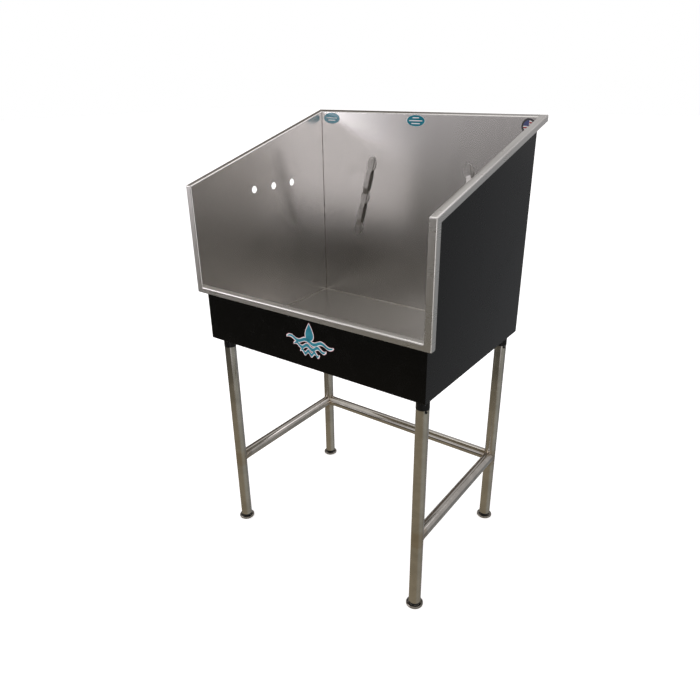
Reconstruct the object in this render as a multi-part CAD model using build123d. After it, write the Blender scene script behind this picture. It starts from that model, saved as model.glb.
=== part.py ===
from build123d import *
import math
import os

# A stand-mounted pet bathtub: a folded stainless tub with a high back and sloping sides, black outer skins,
# and a four-legged tube stand with levelling feet. +X is the user's right at the open front, +Y runs to the
# back, +Z is up, and the origin is on the floor under the middle of the rim's outline. Millimetres.

# ---- rim and tub
WIDTH = 914.4  # over the side lips
DEPTH = 708.0  # over the front and rear lips
FRONT_RIM = 1004.4  # top of the low front rim
SIDE_FRONT_TOP = 1342.5  # where the slope starts, at the front of the sides
BACK_TOP = 1544.0  # rear edge of the sloping rim
TUB_BOTTOM = 809.8  # lower edge of the four walls
SHEET = 1.2  # stainless sheet
SKIN = 0.8  # black outer skins
FLANGE = 25.0  # from a wall's inner face to the outside of its lip
LIP = 20.0  # how far the lips turn down
FRONT_LIP_DEPTH = 22.0  # how far the upright lips turn back
BEND = 4.5  # outside radius of a folded edge
LIP_END = 6.0  # rounding of the lower end of an upright lip
SKIN_GAP = 0.6  # clear of the inside of a fold

# ---- water holes in the left wall
HOLE_R = 12.7
HOLE_PITCH = 101.6
HOLE_Y = 32.5
HOLE_Z = 1292.0

# ---- floor and drain
DRAIN_X = -166.0
DRAIN_Y = 0.0
FLOOR_FALL = 10.0
SEAT_R = 50.0  # thickened ring that the drain clamps to
SEAT_RISE = 1.0
DRAIN_HOLE_R = 37.0
DRAIN_FLANGE_R = 44.0
DRAIN_THREAD_R = 36.6
DRAIN_BORE_R = 33.0
DRAIN_CUP = 42.0
OUTLET_R = 19.05  # outside radius of the 1-1/2 inch tailpiece
TAILPIECE = 92.0
TAIL_WALL = 1.5
TAIL_FLANGE = 2.0
NECK = 8.0  # the stretch of the tailpiece inside its nut
DRAIN_LIP = 2.6  # how far the flange stands above the floor
SHOULDER_DROP = 18.0  # down to the shoulder that the strainer rests on
SHOULDER = 4.0  # how far the shoulder comes in
OUTLET_LAND = 3.0  # thickness of the outlet's sealing face
GASKET = 3.0
GASKET_R = 46.0
NUT_R = 44.0
NUT_TALL = 9.0
LUG_OUT = 48.0
LUG_WIDE = 8.0
SLIP_NUT_R = 29.0  # across its corners, halved
THREAD_FIT = 0.1

# ---- strainer basket
STRAINER_CLEAR = 0.4
STRAINER_WALL = 1.2
BASKET_DEEP = 14.0
KNOB_STEM_R = 4.0
KNOB_R = 8.0
KNOB_TALL = 11.5
MESH_RINGS = ((9.5, 8), (15.5, 12), (21.5, 18))  # radius and count of the holes in its bottom
MESH_R = 1.8
SIDE_SLOTS = 18

# ---- stand
LEG_R = 20.65
TUBE_WALL = 1.65
LEG_X = 400.4
LEG_FRONT = -283.1
LEG_REAR = 283.0
RAIL_Z = 288.5
SOCKET_BOTTOM = 768.0
PLATE_SIDE = 60.0
PLATE_BOTTOM = 805.2
SOCKET_R = 21.0
SPIGOT = 60.0
COPE_GAP = 0.02
SCREW_Z = 763.0
SCREW_TURN = 32.0  # degrees that the screws turn away from the X axis
SCREW_SHANK_R = 2.5
SCREW_HEAD_R = 4.3

# ---- levelling feet
LEG_BOTTOM = 18.0
FOOT_R = 29.0
FOOT_TALL = 9.0
FOOT_EDGE = 2.5  # rounding of its rim
FOOT_GAP = 0.3
STEM_R = 6.0
STEM_TOP = 72.0
INSERT_TOP = 58.0
STEM_FIT = 0.05

# ---- tether bars on the back wall
BAR_LEAN = 14.1  # degrees from upright
BAR_LEFT_X = -226.4
BAR_RIGHT_X = 240.6
BAR_Z = 1226.6
STRAP_WIDE = 19.0
STRAP_THICK = 3.0
STRAP_HALF = 152.0
BOW = 10.5  # clear space behind the bowed stretches
BOW_RUN = 24.0  # how far the strap takes to swing out
STRAP_BEND = 14.0
PAD_WIDE = 38.0
PAD_TALL = 56.0
PAD_THICK = 3.0
PAD_OFFSET = 131.0
PAD_LAND = 14.0  # half the length of strap that lies flat on a pad

# ---- printed labels
LABEL_THICK = 0.25

X_OUT = WIDTH / 2
X_IN = X_OUT - FLANGE
FRONT = -DEPTH / 2
REAR = DEPTH / 2
APRON = FRONT + FLANGE  # inner face of the front wall
BACK = REAR - FLANGE  # inner face of the back wall
FLOOR_CORNERS = [(-X_IN, APRON), (X_IN, APRON), (X_IN, BACK), (-X_IN, BACK)]
SLOPE = math.atan2(BACK_TOP - SIDE_FRONT_TOP, DEPTH)
EPS = 1e-3

parts = {}


def slope_z(y, below=0.0):
    """Height of the sloping rim plane at y, or of a plane this far below it, square to it."""
    return SIDE_FRONT_TOP + (y - FRONT) * math.tan(SLOPE) - below / math.cos(SLOPE)


def across(outline, x_low, x_high):
    """A (y, z) outline carried along X."""
    face = Plane.YZ.offset(x_low) * make_face(Polyline(*outline, close=True))
    return extrude(face, amount=x_high - x_low)


def upright(outline, z_low, z_high):
    """An (x, y) outline carried along Z."""
    face = Plane.XY.offset(z_low) * make_face(Polyline(*outline, close=True))
    return extrude(face, amount=z_high - z_low)


def block(low, high):
    size = [high[i] - low[i] for i in range(3)]
    middle = [(high[i] + low[i]) / 2 for i in range(3)]
    return Pos(*middle) * Box(*size)


def rod(radius, start, end):
    """A round bar from one point to another."""
    axis = Vector(*end) - Vector(*start)
    plane = Plane(origin=start, z_dir=axis)
    return extrude(plane * Circle(radius), amount=axis.length)


def turned(profile, x, y, z):
    """An (r, z) profile turned about an upright axis."""
    return Pos(x, y, z) * revolve(Plane.XZ * make_face(Polyline(*profile, close=True)), Axis.Z)


def within_rim(front_depth, slope_depth, beyond=0.0):
    """The (y, z) outline of what lies inside the upright and sloping rim, moved in by these depths."""
    y, rear, low = FRONT + front_depth, REAR + beyond, FRONT_RIM - beyond
    return [(y, low), (y, slope_z(y, slope_depth)), (rear, slope_z(rear, slope_depth)), (rear, low)]


def rear_mitre(side):
    """What the 45 degree corner joint takes off the side wall, or off the back wall's end."""
    far = 5.0
    low, high = (X_IN - far, BACK - far), (X_OUT + far, REAR + far)
    corner = (low[0], high[1]) if side else (high[0], low[1])
    return upright([low, high, corner], TUB_BOTTOM - far, BACK_TOP + far)


def rounded_rim(depth, beyond):
    """A block that fills the right-hand rim, this far inside its sheet, with its bends rounded."""
    solid = across(within_rim(depth, depth, beyond), X_IN + depth, X_OUT - depth)
    folds = []
    for edge in solid.edges():
        ends = [edge @ 0, edge @ 1]
        on_front = all(abs(p.Y - FRONT - depth) < EPS for p in ends)
        on_slope = all(abs(p.Z - slope_z(p.Y, depth)) < EPS for p in ends)
        along_x = abs(ends[0].X - ends[1].X) > 1
        if (on_front and on_slope) if along_x else (on_front or on_slope):
            folds.append(edge)
    return fillet(folds, BEND - depth)


def fold(outline, outer, inner):
    """A folded sheet's outline, with its bends rounded outside and inside."""
    face = make_face(Polyline(*outline, close=True))
    for corners, radius in ((outer, BEND), (inner, BEND - SHEET)):
        bends = [face.vertices().sort_by_distance(outline[corner])[0] for corner in corners]
        face = fillet(bends, radius)
    return face


def side_wall():
    """The right wall with its flange and lip, folded from one sheet."""
    far = 5.0
    rim = rounded_rim(0, 0) - rounded_rim(SHEET, far)
    rim = rim - across(within_rim(FRONT_LIP_DEPTH, LIP, far), X_OUT - far, X_OUT + far)
    lower = block((X_IN, APRON, TUB_BOTTOM), (X_IN + SHEET, REAR, FRONT_RIM))
    outline = [
        (X_OUT, FRONT),
        (X_OUT, FRONT + FRONT_LIP_DEPTH),
        (X_OUT - SHEET, FRONT + FRONT_LIP_DEPTH),
        (X_OUT - SHEET, FRONT + SHEET),
        (X_IN, FRONT + SHEET),
        (X_IN, FRONT),
    ]
    corner = extrude(Plane.XY.offset(FRONT_RIM - LIP) * fold(outline, (0,), (3,)), amount=LIP)
    heel = corner.edges().filter_by(Axis.X).sort_by(Axis.Y)[-2:].sort_by(Axis.Z)[0]
    return rim + lower + fillet(heel, LIP_END) - rear_mitre(True)


def back_wall():
    """The back wall with its sloping flange and its rear lip."""
    outline = [
        (BACK, TUB_BOTTOM),
        (BACK, slope_z(BACK)),
        (REAR, BACK_TOP),
        (REAR, BACK_TOP - LIP),
        (REAR - SHEET, BACK_TOP - LIP),
        (REAR - SHEET, slope_z(REAR - SHEET, SHEET)),
        (BACK + SHEET, slope_z(BACK + SHEET, SHEET)),
        (BACK + SHEET, TUB_BOTTOM),
    ]
    sheet = extrude(Plane.YZ.offset(-X_OUT) * fold(outline, (1, 2), (5, 6)), amount=WIDTH)
    return sheet - rear_mitre(False) - mirror(rear_mitre(False), Plane.YZ)


def front_wall():
    """The front wall, folded forward and down along the top."""
    outline = [
        (APRON, TUB_BOTTOM),
        (APRON, FRONT_RIM),
        (FRONT, FRONT_RIM),
        (FRONT, FRONT_RIM - LIP),
        (FRONT + SHEET, FRONT_RIM - LIP),
        (FRONT + SHEET, FRONT_RIM - SHEET),
        (APRON - SHEET, FRONT_RIM - SHEET),
        (APRON - SHEET, TUB_BOTTOM),
    ]
    sheet = extrude(Plane.YZ.offset(-X_IN) * fold(outline, (1, 2), (5, 6)), amount=2 * X_IN)
    for end in (-X_IN - SHEET, X_IN):
        sheet = sheet + block((end, APRON - SHEET, TUB_BOTTOM), (end + SHEET, APRON, FRONT_RIM))
    return sheet


def basin_floor(top):
    """A slab whose upper face, at this height round the walls, falls in four facets to the drain."""
    sides = list(zip(FLOOR_CORNERS, FLOOR_CORNERS[1:] + FLOOR_CORNERS[:1]))
    faces = []
    for level in (top, top - SHEET):
        middle = (DRAIN_X, DRAIN_Y, level - FLOOR_FALL)
        for a, b in sides:
            faces.append(Face(Wire.make_polygon([(*a, level), (*b, level), middle], close=True)))
    for a, b in sides:
        ring = [(*a, top), (*b, top), (*b, top - SHEET), (*a, top - SHEET)]
        faces.append(Face(Wire.make_polygon(ring, close=True)))
    return Solid(Shell(faces))


def floor_pan():
    seat_low = TUB_BOTTOM - FLOOR_FALL
    seat = turned([(0, 0), (SEAT_R, 0), (SEAT_R, SHEET + SEAT_RISE), (0, SHEET + SEAT_RISE)],
                  DRAIN_X, DRAIN_Y, seat_low)
    cut = Pos(DRAIN_X, DRAIN_Y, seat_low) * Cylinder(SEAT_R - 4, 4 * FLOOR_FALL)
    hole = Pos(DRAIN_X, DRAIN_Y, seat_low) * Cylinder(DRAIN_HOLE_R, 4 * FLOOR_FALL)
    return basin_floor(TUB_BOTTOM + SHEET) - cut + seat - hole


def side_skin():
    """The right-hand black skin, which stops just short of the folds."""
    clear = BEND + SKIN_GAP
    front, rear = FRONT + clear, BACK + SHEET
    outline = [
        (APRON - SHEET, TUB_BOTTOM),
        (APRON - SHEET, FRONT_RIM),
        (front, FRONT_RIM),
        (front, slope_z(front, clear)),
        (rear, slope_z(rear, clear)),
        (rear, TUB_BOTTOM),
    ]
    return across(outline, X_IN + SHEET, X_IN + SHEET + SKIN)


def end_skin(y_low, top):
    """A black skin across the front or the back."""
    half = X_IN + SHEET + SKIN
    return block((-half, y_low, TUB_BOTTOM), (half, y_low + SKIN, top))


def water_holes(solid):
    for step in (-1, 0, 1):
        centre = (-X_IN, HOLE_Y + step * HOLE_PITCH, HOLE_Z)
        solid = solid - Pos(*centre) * Rot(0, 90, 0) * Cylinder(HOLE_R, 4 * FLANGE)
    return solid


# ---- tub: five sheets and four skins
parts["right_wall"] = side_wall()
parts["left_wall"] = water_holes(mirror(side_wall(), Plane.YZ))
parts["back_wall"] = back_wall()
parts["front_wall"] = front_wall()
parts["floor_pan"] = floor_pan()
parts["right_skin"] = side_skin()
parts["left_skin"] = water_holes(mirror(side_skin(), Plane.YZ))
parts["front_skin"] = end_skin(APRON - SHEET - SKIN, FRONT_RIM - BEND - SKIN_GAP)
parts["back_skin"] = end_skin(BACK + SHEET, slope_z(BACK, BEND + SKIN_GAP))


# ---- drain, hung from the thickened ring of the floor
SEAT_TOP = TUB_BOTTOM - FLOOR_FALL + SHEET + SEAT_RISE
SEAT_LOW = TUB_BOTTOM - FLOOR_FALL
CUP_LOW = SEAT_TOP - DRAIN_CUP
SHOULDER_Z = SEAT_TOP - SHOULDER_DROP
OUTLET_LOW = CUP_LOW - 16.0


def drain_body():
    """Flanged cup with a shoulder for the strainer and an outlet that the tailpiece pushes up against."""
    outlet, bore, floor_r = OUTLET_R + OUTLET_LAND, OUTLET_R - TAIL_WALL, DRAIN_BORE_R - SHOULDER
    profile = [
        (DRAIN_BORE_R, SEAT_TOP + DRAIN_LIP - 1.6),
        (DRAIN_BORE_R + 3, SEAT_TOP + DRAIN_LIP),
        (DRAIN_FLANGE_R - 2, SEAT_TOP + DRAIN_LIP),
        (DRAIN_FLANGE_R, SEAT_TOP + DRAIN_LIP - 1.4),
        (DRAIN_FLANGE_R, SEAT_TOP),
        (DRAIN_THREAD_R, SEAT_TOP),
        (DRAIN_THREAD_R, CUP_LOW + 6),
        (outlet, CUP_LOW - 3),
        (outlet, OUTLET_LOW),
        (bore, OUTLET_LOW),
        (bore, CUP_LOW),
        (floor_r, CUP_LOW + 9),
        (floor_r, SHOULDER_Z),
        (DRAIN_BORE_R, SHOULDER_Z),
    ]
    return turned(profile, DRAIN_X, DRAIN_Y, 0)


def ring(inner, outer, low, high):
    return turned([(inner, low), (outer, low), (outer, high), (inner, high)], DRAIN_X, DRAIN_Y, 0)


def drain_nut(low):
    """A round nut with eight wrench lugs."""
    nut = ring(DRAIN_THREAD_R + THREAD_FIT, NUT_R, low, low + NUT_TALL)
    for turn in range(0, 360, 45):
        lug = block((NUT_R - 1, -LUG_WIDE / 2, low), (LUG_OUT, LUG_WIDE / 2, low + NUT_TALL))
        nut = nut + Pos(DRAIN_X, DRAIN_Y, 0) * Rot(0, 0, turn) * lug
    return nut


def slip_nut():
    """The six-sided nut that holds the tailpiece by its flange."""
    low, high = OUTLET_LOW - NECK, CUP_LOW - 4
    body = Pos(DRAIN_X, DRAIN_Y, low) * extrude(RegularPolygon(SLIP_NUT_R, 6), amount=high - low)
    thread_r = OUTLET_R + OUTLET_LAND + THREAD_FIT
    body = body - ring(0, thread_r, OUTLET_LOW - TAIL_FLANGE - THREAD_FIT, high + 1)
    return body - ring(0, OUTLET_R, low - 1, high + 1)


def tailpiece():
    """A drain tube with a flange and a slimmer neck where the nut holds it."""
    inner, neck, flange = OUTLET_R - TAIL_WALL, OUTLET_R - 0.3, OUTLET_R + OUTLET_LAND
    profile = [
        (inner, OUTLET_LOW - TAILPIECE),
        (OUTLET_R, OUTLET_LOW - TAILPIECE),
        (OUTLET_R, OUTLET_LOW - NECK),
        (neck, OUTLET_LOW - NECK),
        (neck, OUTLET_LOW - TAIL_FLANGE),
        (flange, OUTLET_LOW - TAIL_FLANGE),
        (flange, OUTLET_LOW),
        (inner, OUTLET_LOW),
    ]
    return turned(profile, DRAIN_X, DRAIN_Y, 0)


def strainer():
    """A perforated hair basket with a lifting knob."""
    rim_low = SHOULDER_Z + STRAINER_CLEAR
    rim_high = rim_low + 1.5
    outer = DRAIN_BORE_R - STRAINER_CLEAR
    low = rim_low - BASKET_DEEP
    basket = DRAIN_BORE_R - SHOULDER - STRAINER_CLEAR
    profile = [
        (0, low),
        (basket - 3, low),
        (basket, low + 3),
        (basket, rim_low),
        (outer, rim_low),
        (outer, rim_high),
        (basket - STRAINER_WALL, rim_high),
        (basket - STRAINER_WALL, low + 3.4),
        (basket - 3.6, low + STRAINER_WALL),
        (KNOB_STEM_R + 1, low + STRAINER_WALL),
        (KNOB_STEM_R, low + 4),
        (KNOB_STEM_R, rim_low + KNOB_TALL - 7.5),
        (KNOB_R, rim_low + KNOB_TALL - 4.5),
        (KNOB_R, rim_low + KNOB_TALL - 1.5),
        (KNOB_R - 1.5, rim_low + KNOB_TALL),
        (0, rim_low + KNOB_TALL),
    ]
    solid = turned(profile, DRAIN_X, DRAIN_Y, 0)
    for radius, count in MESH_RINGS:
        for place in PolarLocations(radius, count):
            solid = solid - Pos(DRAIN_X, DRAIN_Y, low) * place * Cylinder(MESH_R, 5 * STRAINER_WALL)
    for place in PolarLocations(basket, SIDE_SLOTS):
        slot = place * Box(5 * STRAINER_WALL, 2.4, BASKET_DEEP / 2)
        solid = solid - Pos(DRAIN_X, DRAIN_Y, low + 0.6 * BASKET_DEEP) * slot
    return solid


parts["drain_body"] = drain_body()
parts["drain_gasket"] = ring(DRAIN_HOLE_R, GASKET_R, SEAT_LOW - GASKET, SEAT_LOW)
parts["drain_locknut"] = drain_nut(SEAT_LOW - GASKET - NUT_TALL)
parts["drain_slip_nut"] = slip_nut()
parts["drain_tailpiece"] = tailpiece()
parts["drain_strainer"] = strainer()


# ---- stand: plates and sockets under the corners, legs, rails, inserts and feet
def below_floor(solid):
    """Trims a part to lie against the sloping underside of the floor."""
    apex = (DRAIN_X, DRAIN_Y, TUB_BOTTOM - FLOOR_FALL)
    lid = [(*corner, TUB_BOTTOM) for corner in FLOOR_CORNERS]
    faces = [Face(Wire.make_polygon(lid, close=True))]
    for a, b in zip(lid, lid[1:] + lid[:1]):
        faces.append(Face(Wire.make_polygon([a, b, apex], close=True)))
    return solid - Solid(Shell(faces))


def socket_plate(x, y):
    half = PLATE_SIDE / 2
    plate = block((x - half, y - half, PLATE_BOTTOM), (x + half, y + half, TUB_BOTTOM))
    return below_floor(fillet(plate.edges().filter_by(Axis.Z), 6.0))


def screw_axis(x, y):
    """The way a leg's screw faces: outwards, turned to the front on the right and back on the left."""
    turn = math.radians(-SCREW_TURN if x > 0 else 180 - SCREW_TURN)
    return Vector(math.cos(turn), math.sin(turn), 0)


def leg_socket(x, y):
    """A collar under the plate with a spigot that goes inside the leg."""
    spigot_r = LEG_R - TUBE_WALL - 0.05
    profile = [
        (spigot_r - 3.0, SOCKET_BOTTOM - SPIGOT),
        (spigot_r, SOCKET_BOTTOM - SPIGOT),
        (spigot_r, SOCKET_BOTTOM),
        (SOCKET_R, SOCKET_BOTTOM),
        (SOCKET_R, PLATE_BOTTOM),
        (spigot_r - 3.0, PLATE_BOTTOM),
    ]
    socket = turned(profile, x, y, 0)
    middle = Vector(x, y, SCREW_Z)
    return socket - rod(SCREW_SHANK_R + 0.05, middle, middle + screw_axis(x, y) * (2 * LEG_R))


def leg(x, y):
    tube = turned([(LEG_R - TUBE_WALL, LEG_BOTTOM), (LEG_R, LEG_BOTTOM), (LEG_R, SOCKET_BOTTOM),
                   (LEG_R - TUBE_WALL, SOCKET_BOTTOM)], x, y, 0)
    middle = Vector(x, y, SCREW_Z)
    return tube - rod(SCREW_SHANK_R + 0.05, middle, middle + screw_axis(x, y) * (2 * LEG_R))


def leg_screw(x, y):
    """A low round-headed screw through the top of the leg."""
    middle, out = Vector(x, y, SCREW_Z), screw_axis(x, y)
    shank = rod(SCREW_SHANK_R, middle + out * (LEG_R - 5.5), middle + out * (LEG_R + 1))
    head = rod(SCREW_HEAD_R, middle + out * (LEG_R + 0.05), middle + out * (LEG_R + 2.4))
    rim = head.edges().filter_by(GeomType.CIRCLE).sort_by_distance(middle + out * (LEG_R + 10))[0]
    head = fillet(rim, 1.2)
    drive = rod(1.6, middle + out * (LEG_R + 1.0), middle + out * (LEG_R + 5))
    return head + shank - drive


def rail(start, end):
    """A cross tube, coped to fit round both of its legs, and over the side rails if it joins them."""
    tube = rod(LEG_R, start, end) - rod(LEG_R - TUBE_WALL, start, end)
    crosswise = abs(start[0] - end[0]) > LEG_X
    for x, y, z in (start, end):
        tube = tube - Pos(x, y, z) * Cylinder(LEG_R + COPE_GAP, 4 * LEG_R)
        if crosswise:
            tube = tube - rod(LEG_R + COPE_GAP, (x, y - 3 * LEG_R, z), (x, y, z))
    return tube


def foot_insert(x, y):
    """A nylon plug with a short collar that shows under the leg's end."""
    bore = STEM_R + STEM_FIT
    inside = LEG_R - TUBE_WALL - 0.05
    collar_low = FOOT_TALL + FOOT_GAP
    profile = [
        (bore, collar_low),
        (LEG_R - 1.6, collar_low),
        (LEG_R - 0.6, collar_low + 1),
        (LEG_R - 0.6, LEG_BOTTOM),
        (inside, LEG_BOTTOM),
        (inside, INSERT_TOP - 2),
        (inside - 2, INSERT_TOP),
        (bore, INSERT_TOP),
    ]
    return turned(profile, x, y, 0)


def foot(x, y):
    """A round stainless foot with a raised edge, on its levelling stem."""
    profile = [
        (0, 0),
        (FOOT_R - FOOT_EDGE, 0),
        (FOOT_R, FOOT_EDGE),
        (FOOT_R, FOOT_TALL - FOOT_EDGE),
        (FOOT_R - 1.5, FOOT_TALL - 0.4),
        (FOOT_R - 3.5, FOOT_TALL),
        (FOOT_R - 5.5, FOOT_TALL - 1.6),
        (LEG_R - 2, FOOT_TALL - 2),
        (LEG_R - 5, FOOT_TALL),
        (STEM_R, FOOT_TALL),
        (STEM_R, STEM_TOP - 1.5),
        (STEM_R - 1.5, STEM_TOP),
        (0, STEM_TOP),
    ]
    return turned(profile, x, y, 0)


CORNERS = {
    "front_left": (-LEG_X, LEG_FRONT),
    "front_right": (LEG_X, LEG_FRONT),
    "rear_left": (-LEG_X, LEG_REAR),
    "rear_right": (LEG_X, LEG_REAR),
}
for corner, (x, y) in CORNERS.items():
    parts[f"socket_plate_{corner}"] = socket_plate(x, y)
    parts[f"leg_socket_{corner}"] = leg_socket(x, y)
    parts[f"leg_{corner}"] = leg(x, y)
    parts[f"foot_insert_{corner}"] = foot_insert(x, y)
    parts[f"foot_{corner}"] = foot(x, y)
parts["leg_screws"] = Compound([leg_screw(x, y).solid() for x, y in CORNERS.values()])

RAILS = {"left": ("front_left", "rear_left"), "right": ("front_right", "rear_right"),
         "rear": ("rear_left", "rear_right")}
for name, (first, last) in RAILS.items():
    parts[f"{name}_rail"] = rail((*CORNERS[first], RAIL_Z), (*CORNERS[last], RAIL_Z))


# ---- tether bars, drawn upright on the wall and then leaned over
def strap_route():
    """The strap's wall side as (y, z) points: flat on each pad and bowed between them."""
    land, bowed = BACK - PAD_THICK, BACK - BOW
    swing = PAD_LAND + BOW_RUN
    route = [(land, -STRAP_HALF)]
    for low, high in ((-PAD_OFFSET, 0), (0, PAD_OFFSET)):
        route += [(land, low + PAD_LAND), (bowed, low + swing), (bowed, high - swing), (land, high - PAD_LAND)]
    return route + [(land, STRAP_HALF)]


def tether_bar(x, lean):
    """A flat strap bowed off the wall between three oval pads."""
    wall_side = FilletPolyline(*strap_route(), radius=STRAP_BEND)
    room_side = Pos(-STRAP_THICK, 0) * wall_side
    ends = [Line(wall_side @ t, room_side @ t) for t in (0, 1)]
    face = make_face([*wall_side.edges(), *room_side.edges(), *ends])
    bar = extrude(Plane.YZ.offset(-STRAP_WIDE / 2) * face, amount=STRAP_WIDE)
    for height in (-PAD_OFFSET, 0, PAD_OFFSET):
        pad = extrude(Ellipse(PAD_WIDE / 2, PAD_TALL / 2), amount=PAD_THICK)
        bar = bar + Pos(0, BACK, height) * Rot(90, 0, 0) * pad
    return Pos(x, 0, BAR_Z) * Rot(0, lean, 0) * bar


parts["tether_bar_left"] = tether_bar(BAR_LEFT_X, BAR_LEAN)
parts["tether_bar_right"] = tether_bar(BAR_RIGHT_X, -BAR_LEAN)


# ---- printed labels: three on the back wall and one on the front skin
def oval_label(x, z, wide, tall, face_y):
    oval = extrude(Ellipse(wide / 2, tall / 2), amount=LABEL_THICK)
    return Pos(x, face_y, z) * Rot(90, 0, 0) * oval


parts["oval_label_left"] = oval_label(-383.1, 1513.0, 76.0, 40.0, BACK)
parts["oval_label_middle"] = oval_label(-8.2, 1513.4, 75.0, 39.0, BACK)
parts["round_label_right"] = oval_label(405.0, 1508.5, 47.0, 47.0, BACK)
parts["front_badge"] = oval_label(18.3, 905.0, 206.0, 118.0, APRON - SHEET - SKIN)

os.makedirs("parts", exist_ok=True)
for name, shape in parts.items():
    export_step(shape, f"parts/{name}.step")
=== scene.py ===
import bmesh
import bpy
import math
from mathutils import Matrix, Vector


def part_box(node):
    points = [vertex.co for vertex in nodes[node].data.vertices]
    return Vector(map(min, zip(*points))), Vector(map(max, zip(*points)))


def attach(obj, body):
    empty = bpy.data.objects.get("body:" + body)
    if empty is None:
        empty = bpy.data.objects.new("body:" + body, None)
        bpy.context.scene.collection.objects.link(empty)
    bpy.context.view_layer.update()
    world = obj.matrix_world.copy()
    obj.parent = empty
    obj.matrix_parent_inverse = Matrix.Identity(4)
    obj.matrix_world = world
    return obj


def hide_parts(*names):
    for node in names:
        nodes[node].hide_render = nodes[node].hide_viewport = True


# A folded stainless pet bathtub on a tube stand. The sheets, tubes and fittings come from the frame and get
# their finishes here. The weld beads and the badge are made here, and the labels get their print. Metres.

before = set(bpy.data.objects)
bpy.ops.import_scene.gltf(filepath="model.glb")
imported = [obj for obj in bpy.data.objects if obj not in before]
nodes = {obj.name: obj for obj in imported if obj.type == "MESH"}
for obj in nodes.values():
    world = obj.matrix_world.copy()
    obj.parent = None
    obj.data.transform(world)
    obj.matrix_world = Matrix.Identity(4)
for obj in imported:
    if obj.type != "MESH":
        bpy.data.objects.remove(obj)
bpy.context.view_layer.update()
STAND = "tub_and_stand"
CORNERS = ("front_left", "front_right", "rear_left", "rear_right")


# ---- small helpers
def put(tree, kind, inputs=None, **settings):
    """A shader node with its settings, and its sockets given as plain values or as other nodes' outputs."""
    node = tree.nodes.new(kind)
    for name, value in settings.items():
        setattr(node, name, value)
    for name, value in (inputs or {}).items():
        if isinstance(value, bpy.types.NodeSocket):
            tree.links.new(value, node.inputs[name])
        else:
            node.inputs[name].default_value = value
    return node


def calc(tree, operation, *values, clamp=False):
    """The result of one Math node."""
    node = put(tree, "ShaderNodeMath", dict(enumerate(values)), operation=operation, use_clamp=clamp)
    return node.outputs[0]


def step_between(tree, value, low, high, bottom=0.0, top=1.0):
    """A value carried smoothly from bottom to top as it goes from low to high."""
    sockets = {"Value": value, "From Min": low, "From Max": high, "To Min": bottom, "To Max": top}
    return put(tree, "ShaderNodeMapRange", sockets, interpolation_type="SMOOTHSTEP").outputs["Result"]


def mixed(tree, amount, first, second, blend="MIX"):
    """Two colours mixed by a mask."""
    node = put(tree, "ShaderNodeMix", data_type="RGBA", blend_type=blend)
    for index, value in ((0, amount), (6, first), (7, second)):
        if isinstance(value, bpy.types.NodeSocket):
            tree.links.new(value, node.inputs[index])
        else:
            node.inputs[index].default_value = value
    return node.outputs[2]


def noise(tree, vector, scale, detail=2.0, rough=0.5, distortion=0.0):
    sockets = {"Vector": vector, "Scale": scale, "Detail": detail, "Roughness": rough,
               "Distortion": distortion}
    return put(tree, "ShaderNodeTexNoise", sockets).outputs["Fac"]


def stretched(tree, vector, amounts):
    """Coordinates scaled by a different amount along each axis."""
    return put(tree, "ShaderNodeVectorMath", {0: vector, 1: amounts}, operation="MULTIPLY").outputs[0]


def new_effect(name, inputs, outputs):
    """An empty shader node group with these sockets, and its input and output nodes."""
    group = bpy.data.node_groups.new(name, "ShaderNodeTree")
    for label, kind, default in inputs:
        socket = group.interface.new_socket(label, in_out="INPUT", socket_type=kind)
        if default is not None:
            socket.default_value = default
    for label, kind in outputs:
        group.interface.new_socket(label, in_out="OUTPUT", socket_type=kind)
    return group, group.nodes.new("NodeGroupInput").outputs, group.nodes.new("NodeGroupOutput").inputs


def effect(tree, group, inputs):
    """One placed copy of a shared effect."""
    node = tree.nodes.new("ShaderNodeGroup")
    node.node_tree = group
    for name, value in inputs.items():
        if isinstance(value, bpy.types.NodeSocket):
            tree.links.new(value, node.inputs[name])
        else:
            node.inputs[name].default_value = value
    return node.outputs


FLOAT, VECTOR = "NodeSocketFloat", "NodeSocketVector"


def new_finish(name, **constants):
    """A material with a Principled shader, its constants set, and Object coordinates."""
    material = bpy.data.materials.new(name)
    material.use_nodes = True
    tree = material.node_tree
    shader = tree.nodes["Principled BSDF"]
    for label, value in constants.items():
        shader.inputs[label.replace("_", " ")].default_value = value
    where = tree.nodes.new("ShaderNodeTexCoord").outputs["Object"]
    return material, tree, shader, where


def feed(tree, shader, **outputs):
    for label, value in outputs.items():
        tree.links.new(value, shader.inputs[label.replace("_", " ")])


def bumped(tree, shader, height, distance, strength=1.0):
    bump = put(tree, "ShaderNodeBump", {"Height": height, "Distance": distance, "Strength": strength})
    feed(tree, shader, Normal=bump.outputs["Normal"])


# ---- shared effects
def make_grain():
    """Fine rolling or polishing lines, softly broken up."""
    group, given, out = new_effect(
        "rolled_grain",
        [("Vector", VECTOR, None), ("Stretch", VECTOR, (1, 1, 1)), ("Break Up", FLOAT, 0.35)],
        [("Lines", FLOAT)])
    lines = noise(group, stretched(group, given["Vector"], given["Stretch"]), 1.0, 3.0, 0.65)
    patches = noise(group, given["Vector"], 9.0, 3.0)
    spread = calc(group, "MULTIPLY", given["Break Up"], patches)
    group.links.new(calc(group, "MULTIPLY", lines, calc(group, "SUBTRACT", 1.0, spread)), out["Lines"])
    return group


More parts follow.
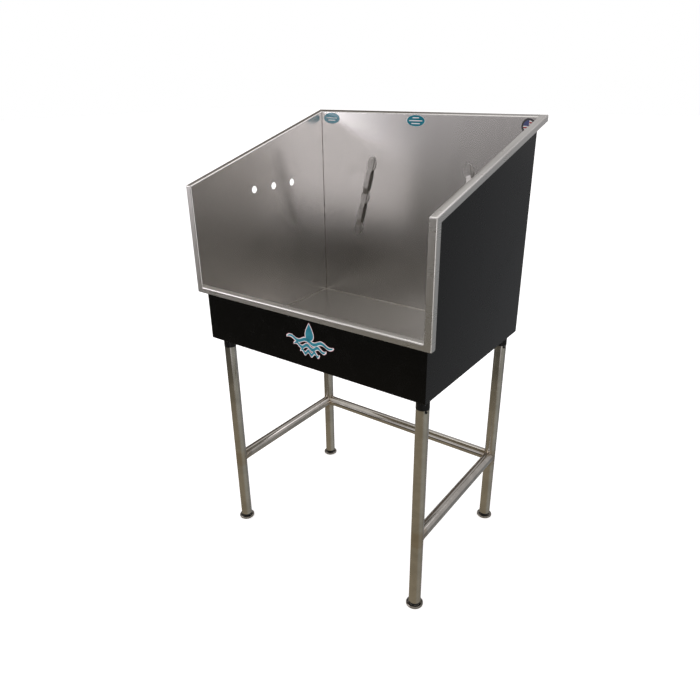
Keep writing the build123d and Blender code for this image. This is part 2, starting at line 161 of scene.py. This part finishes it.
def make_blotches():
    """Broad cloudy changes of tone, as on mill sheet that has been wiped."""
    group, given, out = new_effect(
        "wiped_blotches",
        [("Vector", VECTOR, None), ("Scale", FLOAT, 4.0)],
        [("Cloud", FLOAT), ("Speckle", FLOAT)])
    cloud = noise(group, given["Vector"], given["Scale"], 4.0, 0.55, 0.6)
    group.links.new(step_between(group, cloud, 0.3, 0.7), out["Cloud"])
    speckle = noise(group, given["Vector"], 420.0, 2.0, 0.7)
    group.links.new(step_between(group, speckle, 0.35, 0.65), out["Speckle"])
    return group


def make_smudges():
    """Faint dried runs down a sheet, in a few places."""
    group, given, out = new_effect("dried_runs", [("Vector", VECTOR, None)], [("Smudge", FLOAT)])
    runs = stretched(group, given["Vector"], (90.0, 90.0, 5.0))
    runs = step_between(group, noise(group, runs, 1.0, 2.0), 0.50, 0.85)
    area = step_between(group, noise(group, given["Vector"], 3.1, 2.0), 0.45, 0.80)
    group.links.new(calc(group, "MULTIPLY", runs, area), out["Smudge"])
    return group


def make_scratches():
    """Thin wandering scratches from use."""
    group, given, out = new_effect(
        "use_scratches", [("Vector", VECTOR, None), ("Scale", FLOAT, 14.0)], [("Scratch", FLOAT)])
    turned = {"Vector": given["Vector"], "Rotation": (0.4, 0.9, 0.3)}
    bent = put(group, "ShaderNodeMapping", turned).outputs[0]
    cells = put(group, "ShaderNodeTexVoronoi", {"Vector": bent, "Scale": given["Scale"]},
                feature="DISTANCE_TO_EDGE")
    line = step_between(group, cells.outputs["Distance"], 0.0, 0.006, 1.0, 0.0)
    gate = step_between(group, noise(group, given["Vector"], 6.0, 2.0), 0.55, 0.62)
    group.links.new(calc(group, "MULTIPLY", line, gate), out["Scratch"])
    return group


def make_peel():
    """The fine dimples of a sprayed or moulded surface."""
    group, given, out = new_effect(
        "sprayed_dimples",
        [("Vector", VECTOR, None), ("Scale", FLOAT, 900.0)],
        [("Height", FLOAT), ("Dust", FLOAT)])
    group.links.new(noise(group, given["Vector"], given["Scale"], 2.0, 0.4), out["Height"])
    dust = noise(group, given["Vector"], 26.0, 5.0, 0.7)
    group.links.new(step_between(group, dust, 0.45, 0.75), out["Dust"])
    return group


def make_oval_print():
    """Places within an upright printed oval: how far out, and how far across and up, each from -1 to 1."""
    group, given, out = new_effect(
        "printed_oval",
        [("Vector", VECTOR, None), ("Centre", VECTOR, (0, 0, 0)), ("Half Size", VECTOR, (1, 1, 1))],
        [("Out", FLOAT), ("Across", FLOAT), ("Up", FLOAT)])
    moved = put(group, "ShaderNodeVectorMath", {0: given["Vector"], 1: given["Centre"]}, operation="SUBTRACT")
    sized = put(group, "ShaderNodeVectorMath", {0: moved.outputs[0], 1: given["Half Size"]},
                operation="DIVIDE")
    axes = put(group, "ShaderNodeSeparateXYZ", {"Vector": sized.outputs[0]}).outputs
    flat = put(group, "ShaderNodeCombineXYZ", {"X": axes["X"], "Z": axes["Z"]}).outputs[0]
    length = put(group, "ShaderNodeVectorMath", {0: flat}, operation="LENGTH").outputs["Value"]
    group.links.new(length, out["Out"])
    group.links.new(axes["X"], out["Across"])
    group.links.new(axes["Z"], out["Up"])
    return group


def make_rim_zone():
    """One on the folded rim outside the basin, where the sheet was ground and brushed and where a painted
    highlight lightens its colour, and none inside it.
    """
    group, given, out = new_effect(
        "brushed_and_sheen_rim_zone", [("Vector", VECTOR, None), ("Half Width", FLOAT, 0.4), ("Front", FLOAT, -0.3)],
        [("Rim", FLOAT)])
    axes = put(group, "ShaderNodeSeparateXYZ", {"Vector": given["Vector"]}).outputs
    side = calc(group, "GREATER_THAN", calc(group, "ABSOLUTE", axes["X"]), given["Half Width"])
    front = calc(group, "LESS_THAN", axes["Y"], given["Front"])
    group.links.new(calc(group, "MAXIMUM", side, front), out["Rim"])
    return group


def make_heat():
    """Straw and brown colouring close to the four welded joints of the stand."""
    group, given, out = new_effect(
        "weld_heat", [("Vector", VECTOR, None), ("Joint", VECTOR, (0.4, 0.28, 0.29))], [("Heat", FLOAT)])
    folded = put(group, "ShaderNodeVectorMath", {0: given["Vector"]}, operation="ABSOLUTE").outputs[0]
    away = put(group, "ShaderNodeVectorMath", {0: folded, 1: given["Joint"]},
               operation="DISTANCE").outputs["Value"]
    ragged = calc(group, "MULTIPLY", calc(group, "SUBTRACT", noise(group, given["Vector"], 55.0), 0.5), 0.02)
    heat = step_between(group, calc(group, "ADD", away, ragged), 0.030, 0.046, 1.0, 0.0)
    group.links.new(heat, out["Heat"])
    return group


GRAIN, BLOTCHES, SMUDGES, HEAT = make_grain(), make_blotches(), make_smudges(), make_heat()
SCRATCHES, PEEL, OVAL, RIM = make_scratches(), make_peel(), make_oval_print(), make_rim_zone()


# ---- finishes
def sheet_steel(name, grain, rim_front, tone=(0.625, 0.612, 0.588), waves=0.0003):
    """Mill-finish stainless sheet: fine grain one way, wiped clouds, a few dull marks, a slight buckle, and a
    coarser brushed rim whose colour is lifted as a painted highlight where the upturned rim catches the
    light."""
    material, tree, shader, where = new_finish(
        name, Metallic=1.0, Anisotropic=0.45, Anisotropic_Rotation=0.25)
    feed(tree, shader, Tangent=put(tree, "ShaderNodeTangent", direction_type="RADIAL", axis="Z").outputs[0])
    lines = effect(tree, GRAIN, {"Vector": where, "Stretch": grain})["Lines"]
    clouds = effect(tree, BLOTCHES, {"Vector": where, "Scale": 3.5})
    smudge = effect(tree, SMUDGES, {"Vector": where})["Smudge"]
    scratch = effect(tree, SCRATCHES, {"Vector": where})["Scratch"]
    rim = effect(tree, RIM, {"Vector": where, "Half Width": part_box("floor_pan")[1].x + 0.0014,
                             "Front": rim_front})["Rim"]
    clean = mixed(tree, clouds["Cloud"], (*[0.96 * c for c in tone], 1), (*[1.03 * c for c in tone], 1))
    # The rim colour at 1.12 times the tone is a painted highlight where the upturned rim catches the light;
    # the roughness added on the rim below is its real ground finish.
    clean = mixed(tree, rim, clean, (*[1.12 * c for c in tone], 1))
    grained = mixed(tree, calc(tree, "MULTIPLY", lines, 0.06), clean, (*[0.75 * c for c in tone], 1))
    marks = calc(tree, "MULTIPLY", smudge, 0.08)
    feed(tree, shader, Base_Color=mixed(tree, marks, grained, (0.22, 0.205, 0.19, 1)))
    rough = calc(tree, "ADD", calc(tree, "MULTIPLY", clouds["Cloud"], 0.015), 0.245)
    rough = calc(tree, "ADD", rough, calc(tree, "MULTIPLY", lines, 0.015))
    feed(tree, shader, Roughness=calc(tree, "ADD", rough, calc(tree, "MULTIPLY", rim, 0.02)))
    buckle = calc(tree, "MULTIPLY", noise(tree, where, 4.2, 1.0), waves)
    bumped(tree, shader, calc(tree, "SUBTRACT", buckle, calc(tree, "MULTIPLY", scratch, 0.000002)), 1.0)
    return material


def tube_steel(name, polish, tone=(0.60, 0.575, 0.53)):
    """Polished stainless tube with fine lines round it, a little wear and straw colour at the welds."""
    material, tree, shader, where = new_finish(name, Metallic=1.0)
    lines = effect(tree, GRAIN, {"Vector": where, "Stretch": polish, "Break Up": 0.6})["Lines"]
    clouds = effect(tree, BLOTCHES, {"Vector": where, "Scale": 14.0})
    scratch = effect(tree, SCRATCHES, {"Vector": where, "Scale": 22.0})["Scratch"]
    clean = mixed(tree, clouds["Cloud"], (*[0.86 * c for c in tone], 1), (*[1.06 * c for c in tone], 1))
    joint_low, joint_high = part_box("left_rail")
    leg_low, leg_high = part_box("leg_rear_right")
    joint = ((leg_low.x + leg_high.x) / 2, (leg_low.y + leg_high.y) / 2, (joint_low.z + joint_high.z) / 2)
    heat = effect(tree, HEAT, {"Vector": where, "Joint": joint})["Heat"]
    clean = mixed(tree, calc(tree, "MULTIPLY", heat, 0.35), clean, (0.36, 0.25, 0.13, 1))
    lined = calc(tree, "MULTIPLY", lines, 0.3)
    feed(tree, shader, Base_Color=mixed(tree, lined, clean, (0.36, 0.34, 0.31, 1)))
    rough = calc(tree, "ADD", 0.07, calc(tree, "MULTIPLY", lines, 0.09))
    feed(tree, shader, Roughness=calc(tree, "ADD", rough, calc(tree, "MULTIPLY", clouds["Cloud"], 0.05)))
    fine = calc(tree, "MULTIPLY", lines, 0.00001)
    bumped(tree, shader, calc(tree, "ADD", fine, calc(tree, "MULTIPLY", scratch, -0.00002)), 1.0)
    return material


def turned_steel(name, tone, rough):
    """Machined metal with faint rings and stains."""
    material, tree, shader, where = new_finish(name, Metallic=1.0)
    lines = effect(tree, GRAIN, {"Vector": where, "Stretch": (60, 60, 2600)})["Lines"]
    clouds = effect(tree, BLOTCHES, {"Vector": where, "Scale": 45.0})
    clean = mixed(tree, clouds["Cloud"], (*[0.7 * c for c in tone], 1), (*tone, 1))
    lined = calc(tree, "MULTIPLY", lines, 0.3)
    feed(tree, shader, Base_Color=mixed(tree, lined, clean, (0.2, 0.19, 0.17, 1)))
    feed(tree, shader, Roughness=calc(tree, "ADD", rough, calc(tree, "MULTIPLY", clouds["Cloud"], 0.12)))
    bumped(tree, shader, calc(tree, "MULTIPLY", lines, 0.00002), 1.0)
    return material


def black_coat(name, tone, rough, dimples, height):
    """Black coating with fine dimples and a trace of dust."""
    material, tree, shader, where = new_finish(name, Specular_IOR_Level=0.20)
    peel = effect(tree, PEEL, {"Vector": where, "Scale": dimples})
    clouds = effect(tree, BLOTCHES, {"Vector": where, "Scale": 5.0})
    dusty = mixed(tree, calc(tree, "MULTIPLY", peel["Dust"], 0.5), (tone, tone, 1.04 * tone, 1),
                  (2.2 * tone, 2.2 * tone, 2.3 * tone, 1))
    feed(tree, shader, Base_Color=dusty)
    spread = calc(tree, "MULTIPLY", clouds["Cloud"], 0.05)
    feed(tree, shader, Roughness=calc(tree, "ADD", calc(tree, "ADD", rough, spread),
                                      calc(tree, "MULTIPLY", peel["Dust"], 0.06)))
    bumped(tree, shader, calc(tree, "MULTIPLY", peel["Height"], height), 1.0)
    return material


def bead_steel(name, dark, light):
    """Weld metal, straw and grey in patches."""
    material, tree, shader, where = new_finish(name, Metallic=1.0)
    clouds = effect(tree, BLOTCHES, {"Vector": where, "Scale": 30.0})
    tint = mixed(tree, clouds["Cloud"], (*dark, 1), (*light, 1))
    feed(tree, shader, Base_Color=mixed(tree, calc(tree, "MULTIPLY", clouds["Speckle"], 0.3), tint,
                                        (0.25, 0.23, 0.21, 1)))
    feed(tree, shader, Roughness=calc(tree, "ADD", 0.26, calc(tree, "MULTIPLY", clouds["Speckle"], 0.12)))
    bumped(tree, shader, calc(tree, "MULTIPLY", clouds["Speckle"], 0.00003), 1.0)
    return material


TEAL, PALE_TEAL, WHITE_INK = (0.002, 0.155, 0.22, 1), (0.10, 0.36, 0.42, 1), (0.82, 0.84, 0.84, 1)


def oval_finish(name, node, bars, border, gloss):
    """A glossy teal oval with a pale border and plain white bars: (height, half length, half thickness)."""
    material, tree, shader, where = new_finish(name, Coat_Roughness=0.05, Coat_IOR=gloss)
    low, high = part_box(node)
    place = effect(tree, OVAL, {"Vector": where, "Centre": (low + high) / 2, "Half Size": (high - low) / 2})
    fade = noise(tree, where, 60.0, 3.0)
    ink = mixed(tree, step_between(tree, fade, 0.3, 0.75, 0.0, 0.25), TEAL, PALE_TEAL)
    ink = mixed(tree, step_between(tree, place["Out"], 1.0 - border, 1.02 - border), ink, WHITE_INK)
    for height, length, thick in bars:
        off = calc(tree, "ABSOLUTE", calc(tree, "SUBTRACT", place["Up"], height))
        inside = calc(tree, "MULTIPLY", calc(tree, "LESS_THAN", off, thick),
                      calc(tree, "LESS_THAN", calc(tree, "ABSOLUTE", place["Across"]), length))
        ink = mixed(tree, inside, ink, WHITE_INK)
    feed(tree, shader, Base_Color=ink)
    feed(tree, shader, Roughness=step_between(tree, fade, 0.2, 0.8, 0.10, 0.18))
    feed(tree, shader, Coat_Weight=step_between(tree, fade, 0.2, 0.8, 0.9, 0.6))
    return material


def banded_finish(node):
    """The round label: a black rim round plain red and white bands, with one blue quarter."""
    material, tree, shader, where = new_finish("banded_print", Coat_Roughness=0.05)
    low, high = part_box(node)
    place = effect(tree, OVAL, {"Vector": where, "Centre": (low + high) / 2, "Half Size": (high - low) / 2})
    wave = calc(tree, "MULTIPLY", calc(tree, "SINE", calc(tree, "MULTIPLY", place["Across"], 3.0)), 0.07)
    rise = calc(tree, "ADD", place["Up"], wave)
    band = calc(tree, "GREATER_THAN", calc(tree, "SINE", calc(tree, "MULTIPLY", rise, 17.0)), 0.0)
    ink = mixed(tree, band, (0.75, 0.74, 0.74, 1), (0.40, 0.015, 0.02, 1))
    quarter = calc(tree, "MULTIPLY", calc(tree, "LESS_THAN", place["Across"], 0.05),
                   calc(tree, "GREATER_THAN", rise, -0.05))
    ink = mixed(tree, quarter, ink, (0.02, 0.035, 0.16, 1))
    ink = mixed(tree, calc(tree, "GREATER_THAN", place["Out"], 0.74), ink, (0.006, 0.006, 0.01, 1))
    fade = noise(tree, where, 80.0, 3.0)
    feed(tree, shader, Base_Color=mixed(tree, calc(tree, "MULTIPLY", fade, 0.12), ink, (0.4, 0.4, 0.4, 1)))
    feed(tree, shader, Roughness=step_between(tree, fade, 0.2, 0.8, 0.10, 0.2))
    feed(tree, shader, Coat_Weight=step_between(tree, fade, 0.2, 0.8, 0.9, 0.6))
    return material


def vinyl(name, dark, light):
    """Cut vinyl film, very slightly uneven."""
    material, tree, shader, where = new_finish(name)
    fade = noise(tree, where, 45.0, 4.0)
    feed(tree, shader, Base_Color=mixed(tree, step_between(tree, fade, 0.3, 0.7), (*dark, 1), (*light, 1)))
    feed(tree, shader, Roughness=step_between(tree, fade, 0.2, 0.8, 0.28, 0.4))
    bumped(tree, shader, calc(tree, "MULTIPLY", noise(tree, where, 500.0), 0.00001), 1.0)
    return material


def plain_stuff(name, dark, light, rough, dimples):
    """Rubber or nylon, mottled and slightly dimpled."""
    material, tree, shader, where = new_finish(name)
    peel = effect(tree, PEEL, {"Vector": where, "Scale": dimples})
    feed(tree, shader, Base_Color=mixed(tree, peel["Dust"], (*dark, 1), (*light, 1)))
    feed(tree, shader, Roughness=calc(tree, "ADD", rough, calc(tree, "MULTIPLY", peel["Dust"], 0.15)))
    bumped(tree, shader, calc(tree, "MULTIPLY", peel["Height"], 0.00004), 1.0)
    return material


def dress(names, material):
    """Gives CAD pieces their finish."""
    for name in names:
        slots = nodes[name].data.materials
        for index in range(len(slots)):
            slots[index] = material


def at_each_corner(*kinds):
    return [f"{kind}_{corner}" for kind in kinds for corner in CORNERS]


tub_front, basin_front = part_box("left_wall")[0].y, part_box("floor_pan")[0].y
dress(["left_wall", "right_wall"], sheet_steel("side_sheet", (5.0, 14.0, 800.0), tub_front + 0.0015))
dress(["back_wall", "front_wall"], sheet_steel("end_sheet", (14.0, 5.0, 800.0), basin_front - 0.0014))
dress(["floor_pan"], sheet_steel("floor_sheet", (14.0, 800.0, 5.0), tub_front))
dress(at_each_corner("leg"), tube_steel("leg_tube", (90.0, 90.0, 1500.0)))
dress(["left_rail", "right_rail"], tube_steel("side_rail_tube", (90.0, 1500.0, 90.0)))
dress(["rear_rail"], tube_steel("rear_rail_tube", (1500.0, 90.0, 90.0)))
dress(["tether_bar_left", "tether_bar_right"], turned_steel("bar_steel", (0.62, 0.605, 0.58), 0.30))
dress(["left_skin", "right_skin", "front_skin", "back_skin"],
      black_coat("satin_black", 0.0006, 0.22, 700.0, 0.000002))
dress(at_each_corner("socket_plate", "leg_socket") + ["leg_screws"],
      black_coat("gloss_black", 0.004, 0.22, 420.0, 0.00005))
dress(at_each_corner("foot"), turned_steel("foot_steel", (0.40, 0.375, 0.335), 0.20))
dress(at_each_corner("foot_insert"),
      plain_stuff("black_nylon", (0.006, 0.006, 0.007), (0.02, 0.02, 0.02), 0.4, 900.0))
dress(["drain_body", "drain_tailpiece", "drain_strainer"],
      turned_steel("drain_steel", (0.62, 0.60, 0.57), 0.18))
dress(["drain_locknut", "drain_slip_nut"], turned_steel("drain_brass", (0.62, 0.44, 0.18), 0.26))
dress(["drain_gasket"], plain_stuff("black_rubber", (0.012, 0.012, 0.012), (0.03, 0.03, 0.03), 0.6, 600.0))
dress(["oval_label_left"], oval_finish("left_oval_print", "oval_label_left", [
    (0.05, 0.66, 0.05), (-0.36, 0.44, 0.06)], 0.0, 2.0))
dress(["oval_label_middle"], oval_finish("middle_oval_print", "oval_label_middle", [
    (0.50, 0.34, 0.075), (0.0, 0.70, 0.075), (-0.48, 0.46, 0.075)], 0.04, 1.5))
dress(["round_label_right"], banded_finish("round_label_right"))


# ---- weld beads
def finished(bm, name, material, smooth=True):
    """The mesh as an object at the origin."""
    bmesh.ops.recalc_face_normals(bm, faces=bm.faces[:])
    mesh = bpy.data.meshes.new(name)
    bm.to_mesh(mesh)
    bm.free()
    for face in mesh.polygons:
        face.use_smooth = smooth
    mesh.materials.append(material)
    piece = bpy.data.objects.new(name, mesh)
    bpy.context.scene.collection.objects.link(piece)
    return piece


def bead(name, path, radius, ripple, material):
    """A rippled round bead along a path, swelling and narrowing as a hand weld does."""
    bm = bmesh.new()
    for index, point in enumerate(path):
        before, after = path[max(index - 1, 0)], path[min(index + 1, len(path) - 1)]
        turn = (after - before).to_track_quat("Z", "Y").to_matrix().to_4x4()
        size = radius * (1.0 + ripple * (-1) ** index)
        ring = bmesh.ops.create_circle(bm, segments=8, radius=size, matrix=Matrix.Translation(point) @ turn)
        if index == 0:
            last = ring["verts"]
            bmesh.ops.contextual_create(bm, geom=last)
            continue
        near = {e for v in list(last) + list(ring["verts"]) for e in v.link_edges
                if e.is_boundary or e.is_wire}
        edges = [e for e in near
                 if all(v in last for v in e.verts) or all(v in ring["verts"] for v in e.verts)]
        bmesh.ops.bridge_loops(bm, edges=edges)
        last = ring["verts"]
    bmesh.ops.contextual_create(bm, geom=last)
    piece = finished(bm, name, material)
    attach(piece, STAND)
    return piece


def straight(start, end, pitch):
    count = max(int((Vector(end) - Vector(start)).length / pitch), 2)
    return [Vector(start).lerp(Vector(end), index / count) for index in range(count + 1)]


BRIGHT_WELD = bead_steel("bright_weld", (0.50, 0.46, 0.40), (0.74, 0.72, 0.69))
# The darker weld metal, used for the upright corner beads and the rail saddles.
DARK_WELD = bead_steel("dark_weld", (0.10, 0.08, 0.07), (0.42, 0.38, 0.34))


def basin_welds():
    """Beads in the inside corners of the basin."""
    back_top, front_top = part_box("back_skin")[1].z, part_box("front_wall")[1].z - 0.002
    floor_low, floor_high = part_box("floor_pan")
    left, right, front, back = floor_low.x, floor_high.x, floor_low.y, floor_high.y
    base, pitch = floor_high.z, 0.0018
    runs = {
        "weld_floor_back": ((left, back, base), (right, back, base)),
        "weld_floor_front": ((left, front, base), (right, front, base)),
        "weld_floor_left": ((left, front, base), (left, back, base)),
        "weld_floor_right": ((right, front, base), (right, back, base)),
        "weld_back_left": ((left, back, base), (left, back, back_top)),
        "weld_back_right": ((right, back, base), (right, back, back_top)),
        "weld_front_left": ((left, front, base), (left, front, front_top)),
        "weld_front_right": ((right, front, base), (right, front, front_top)),
    }
    for name, (start, end) in runs.items():
        upright = start[2] != end[2]
        # Upright corner beads get the darker weld metal and the level floor beads the lighter one.
        radius, metal = (0.0014, DARK_WELD) if upright else (0.0019, BRIGHT_WELD)
        bead(name, straight(start, end, pitch), radius, 0.12, metal)


def coped_path(corner, along, reach):
    """The saddle line where a level tube meets an upright one of the same size."""
    low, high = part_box(f"leg_{corner}")
    rail_low, rail_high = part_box("left_rail")
    middle = Vector(((low.x + high.x) / 2, (low.y + high.y) / 2, (rail_low.z + rail_high.z) / 2))
    out = Vector(along) * reach
    across = Vector((0, 0, 1)).cross(out)
    radius = (high.x - low.x) / 2
    path = []
    for index in range(49):
        turn = 2 * math.pi * index / 48
        up = radius * math.sin(turn)
        path.append(middle + across * radius * math.cos(turn) + out * abs(up) + Vector((0, 0, up)))
    return path


def rail_welds():
    """Saddle beads where the rails meet the legs."""
    for corner in CORNERS:
        reach = 1 if "front" in corner else -1
        bead(f"weld_side_rail_{corner}", coped_path(corner, (0, 1, 0), reach), 0.0014, 0.12, DARK_WELD)
    for corner, reach in (("rear_left", 1), ("rear_right", -1)):
        bead(f"weld_rear_rail_{corner}", coped_path(corner, (1, 0, 0), reach), 0.0014, 0.12, DARK_WELD)


basin_welds()
rail_welds()


# ---- badge: a water drop above three waves, cut from vinyl film
def film(name, outline, level, material):
    """A flat shape standing on the front skin, this many film thicknesses out."""
    thick = 0.00012
    face_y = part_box("front_badge")[1].y
    bm = bmesh.new()
    corners = [bm.verts.new((x, face_y - level * thick, z)) for x, z in outline]
    face = bm.faces.new(corners)
    grown = bmesh.ops.extrude_face_region(bm, geom=[face])
    moved = [v for v in grown["geom"] if isinstance(v, bmesh.types.BMVert)]
    bmesh.ops.translate(bm, vec=(0, -thick, 0), verts=moved)
    piece = finished(bm, name, material, smooth=False)
    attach(piece, STAND)
    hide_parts("front_badge")
    return piece


def drop_outline(x, z, size, grow):
    """A drop: a round bottom drawn up to a point."""
    points = []
    for index in range(48):
        turn = 2 * math.pi * index / 48
        narrow = math.sin(turn / 2) ** 1.4
        points.append((x + (size * narrow + grow) * math.sin(turn), z + (1.3 * size + grow) * math.cos(turn)))
    return points


def wave_outline(x, z, length, thick, grow):
    """A ribbon of water with three crests and pointed ends."""
    top, bottom = [], []
    for index in range(61):
        along = index / 60
        height = 0.0055 * math.sin(along * 3 * 2 * math.pi)
        half = thick * math.sin(math.pi * along) ** 0.4 + grow
        place = x + (along - 0.5) * (length + 2 * grow)
        top.append((place, z + height + half))
        bottom.append((place, z + height - half))
    return top + bottom[::-1]


def badge():
    low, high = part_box("front_badge")
    middle, wide, tall = (low + high) / 2, high.x - low.x, high.z - low.z
    inks = {"edge": vinyl("pink_film", (0.55, 0.26, 0.30), (0.68, 0.38, 0.42)),
            "white": vinyl("white_film", (0.60, 0.66, 0.68), (0.80, 0.84, 0.84)),
            "teal": vinyl("teal_film", TEAL[:3], (0.01, 0.20, 0.27))}
    layers = (("edge", 0.0030, 0), ("white", 0.0018, 1), ("teal", 0.0, 2))
    for ink, grow, level in layers:
        drop = drop_outline(middle.x, middle.z + 0.25 * tall, 0.185 * tall, grow)
        film(f"badge_drop_{ink}", drop, level, inks[ink])
        for row, share in enumerate((0.90, 0.62, 0.36)):
            height = middle.z - (0.03 + 0.16 * row) * tall
            wave = wave_outline(middle.x, height, share * wide, 0.0056, grow)
            film(f"badge_wave_{row + 1}_{ink}", wave, level, inks[ink])


badge()


# ---- floor, light and camera
def studio_floor():
    bm = bmesh.new()
    bmesh.ops.create_grid(bm, x_segments=1, y_segments=1, size=30.0)
    material = bpy.data.materials.new("pale_floor")
    material.use_nodes = True
    tree = material.node_tree
    shader = tree.nodes["Principled BSDF"]
    shader.inputs["Base Color"].default_value = (0.95, 0.95, 0.95, 1)
    shader.inputs["Roughness"].default_value = 0.9
    shader.inputs["Emission Color"].default_value = (1, 1, 1, 1)
    shader.inputs["Emission Strength"].default_value = 0.62
    glossy = tree.nodes.new("ShaderNodeLightPath").outputs["Is Glossy Ray"]
    clear = tree.nodes.new("ShaderNodeBsdfTransparent").outputs[0]
    mix = put(tree, "ShaderNodeMixShader", {0: glossy, 1: shader.outputs[0], 2: clear})
    tree.links.new(mix.outputs[0], tree.nodes["Material Output"].inputs["Surface"])
    floor = finished(bm, "studio_floor", material)


def glow(tree, toward, direction, width, strength):
    """A soft patch of light in one direction of the room."""
    aim = Vector(direction).normalized()
    near = put(tree, "ShaderNodeVectorMath", {0: toward, 1: aim}, operation="DOT_PRODUCT").outputs["Value"]
    return step_between(tree, near, math.cos(math.radians(width)), 1.0, 0.0, strength)


def studio_light():
    """A pale room with three windows in front and a lamp high behind, dim behind on the left and darker
    underfoot."""
    world = bpy.data.worlds.new("studio")
    bpy.context.scene.world = world
    world.use_nodes = True
    tree = world.node_tree
    toward = tree.nodes.new("ShaderNodeTexCoord").outputs["Generated"]
    axes = put(tree, "ShaderNodeSeparateXYZ", {"Vector": toward}).outputs
    up = step_between(tree, axes["Z"], -0.05, 0.85)
    sky = mixed(tree, up, (0.27, 0.255, 0.262, 1), (0.80, 0.78, 0.77, 1))
    behind = step_between(tree, axes["Y"], 0.25, 0.45)
    low_sky = step_between(tree, axes["Z"], 0.66, 0.86, 1.0, 0.0)
    rear_sky = mixed(tree, step_between(tree, axes["X"], -0.52, -0.36),
                     (0.12, 0.10, 0.085, 1), (0.50, 0.485, 0.49, 1))
    sky = mixed(tree, calc(tree, "MULTIPLY", behind, low_sky), sky, rear_sky)
    side = step_between(tree, axes["X"], 0.45, 0.95)
    ground = mixed(tree, step_between(tree, axes["Z"], -0.52, -0.40),
                   (0.28, 0.24, 0.175, 1), (0.085, 0.08, 0.066, 1))
    ground = mixed(tree, side, ground, (0.37, 0.37, 0.345, 1))
    ground = mixed(tree, step_between(tree, axes["Y"], 0.2, 0.9), ground, (0.27, 0.275, 0.285, 1))
    room = mixed(tree, step_between(tree, axes["Z"], 0.03, -0.14), sky, ground)
    windows = 0.0
    for direction, width, strength in (
            ((-0.70, -0.70, 0.10), 14.0, 4.6), ((-0.36, -0.93, 0.08), 12.0, 0.6),
            ((0.70, -0.71, -0.10), 22.0, 1.8), ((0.45, 0.55, 0.70), 11.0, 2.2)):
        windows = calc(tree, "ADD", windows, glow(tree, toward, direction, width, strength))
    tint = put(tree, "ShaderNodeCombineXYZ", {"X": windows, "Y": calc(tree, "MULTIPLY", windows, 0.965),
                                              "Z": calc(tree, "MULTIPLY", windows, 1.03)}).outputs[0]
    lit = mixed(tree, 1.0, room, tint, blend="ADD")
    plain = tree.nodes.new("ShaderNodeLightPath").outputs["Is Camera Ray"]
    tree.links.new(mixed(tree, plain, lit, (1, 1, 1, 1)), tree.nodes["Background"].inputs["Color"])


def softbox(name, spot, aim, size, power):
    light = bpy.data.lights.new(name, "AREA")
    light.shape, light.size, light.energy = "DISK", size, power
    lamp = bpy.data.objects.new(name, light)
    lamp.location = spot
    lamp.rotation_euler = (Vector(aim) - Vector(spot)).to_track_quat("-Z", "Y").to_euler()
    bpy.context.scene.collection.objects.link(lamp)


def place_camera():
    """A standing viewer's height, to the right of the front, looking down into the basin."""
    turn, tip, roll = math.radians(35.949), math.radians(90 - 23.787), math.radians(-0.601)
    lens = bpy.data.cameras.new("camera")
    lens.lens, lens.sensor_width = 30.986, 36.0
    lens.shift_x, lens.shift_y = -0.0044, -0.00657
    camera = bpy.data.objects.new("camera", lens)
    camera.matrix_world = (Matrix.Translation((1.14001, -1.64660, 1.64820)) @ Matrix.Rotation(turn, 4, "Z")
                           @ Matrix.Rotation(tip, 4, "X") @ Matrix.Rotation(roll, 4, "Z"))
    bpy.context.scene.collection.objects.link(camera)
    bpy.context.scene.camera = camera


studio_floor()
studio_light()
softbox("overhead_softbox", (-0.3, 0.2, 3.6), (0, 0, 0.9), 2.4, 12.0)
place_camera()
bpy.context.scene.view_settings.view_transform = "Standard"
